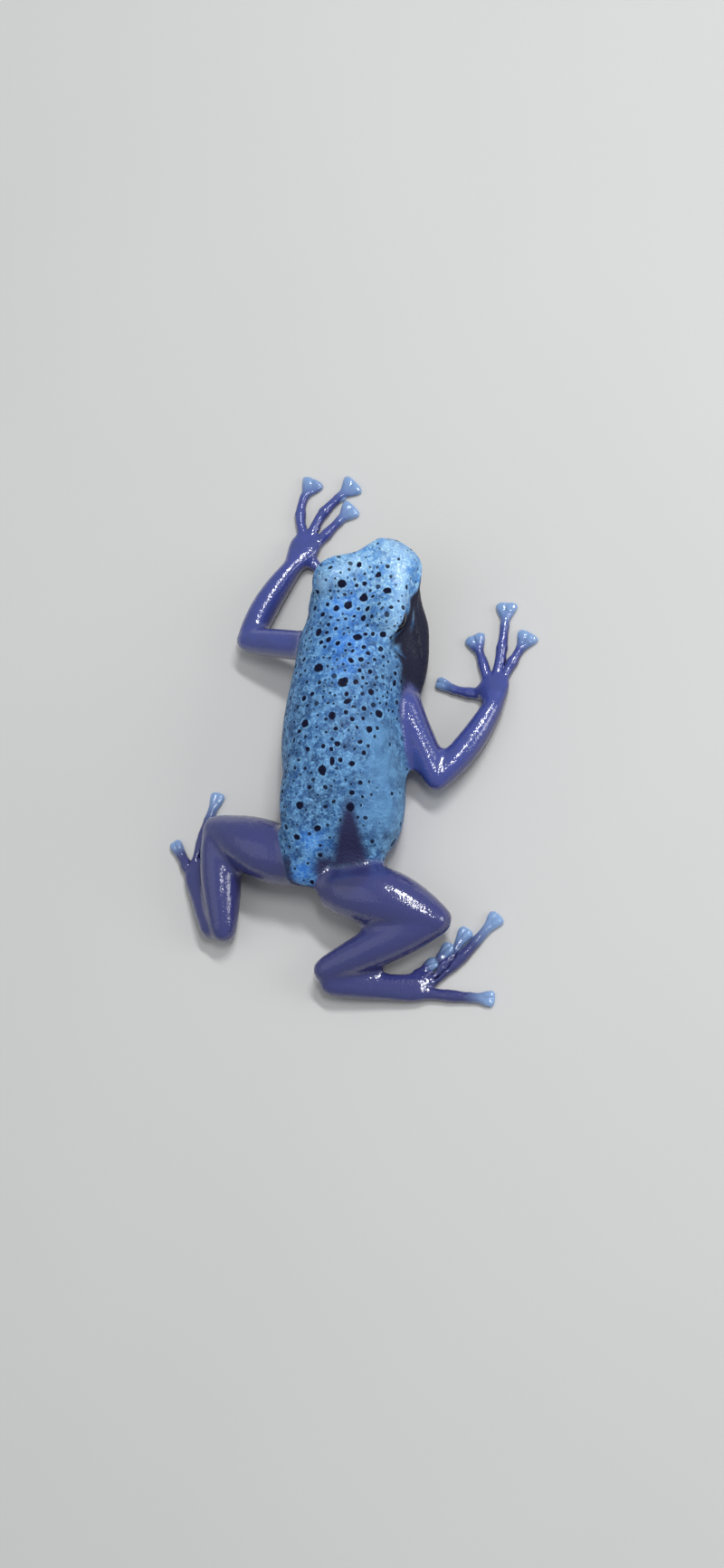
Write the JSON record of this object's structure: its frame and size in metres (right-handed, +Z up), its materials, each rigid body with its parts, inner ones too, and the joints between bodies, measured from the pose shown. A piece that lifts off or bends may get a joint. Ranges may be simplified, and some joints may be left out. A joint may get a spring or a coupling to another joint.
{
  "type": "blue poison dart frog",
  "caption": "Life-size still model of a blue poison dart frog, dark-spotted back, indigo limbs with wide toe discs, stretched out in a climbing stance on its belly and hands.",
  "frame": {"origin": "on the floor, under the middle of the whole frog", "axes": "+Z up, +Y the way the trunk points, +X to the frog's right"},
  "size_m": [0.0458, 0.0664, 0.0136],
  "materials": {
    "skin": "moist skin, sky blue with blue-black spots",
    "limb_skin": "wet skin, deep indigo",
    "disc_skin": "wet skin, indigo to pale blue at the tips",
    "eye": "wet, nearly black"
  },
  "bodies": {
    "root": {"trunk": "skin", "rump": "skin", "head": "skin", "upper_arm_left": "limb_skin", "forearm_left": "limb_skin", "palm_left": "limb_skin", "upper_arm_right": "limb_skin", "forearm_right": "limb_skin", "palm_right": "limb_skin", "thigh_left": "limb_skin", "shank_left": "limb_skin", "tarsus_left": "limb_skin", "thigh_right": "limb_skin", "shank_right": "limb_skin", "tarsus_right": "limb_skin", "finger_1_left": "disc_skin", "finger_2_left": "disc_skin", "finger_3_left": "disc_skin", "finger_4_left": "disc_skin", "finger_1_right": "disc_skin", "finger_2_right": "disc_skin", "finger_3_right": "disc_skin", "finger_4_right": "disc_skin", "toe_1_left": "disc_skin", "toe_2_left": "disc_skin", "toe_3_left": "disc_skin", "toe_4_left": "disc_skin", "toe_5_left": "disc_skin", "toe_1_right": "disc_skin", "toe_2_right": "disc_skin", "toe_3_right": "disc_skin", "toe_4_right": "disc_skin", "toe_5_right": "disc_skin", "eye_left": "eye", "eye_right": "eye"}
  },
  "joints": []
}
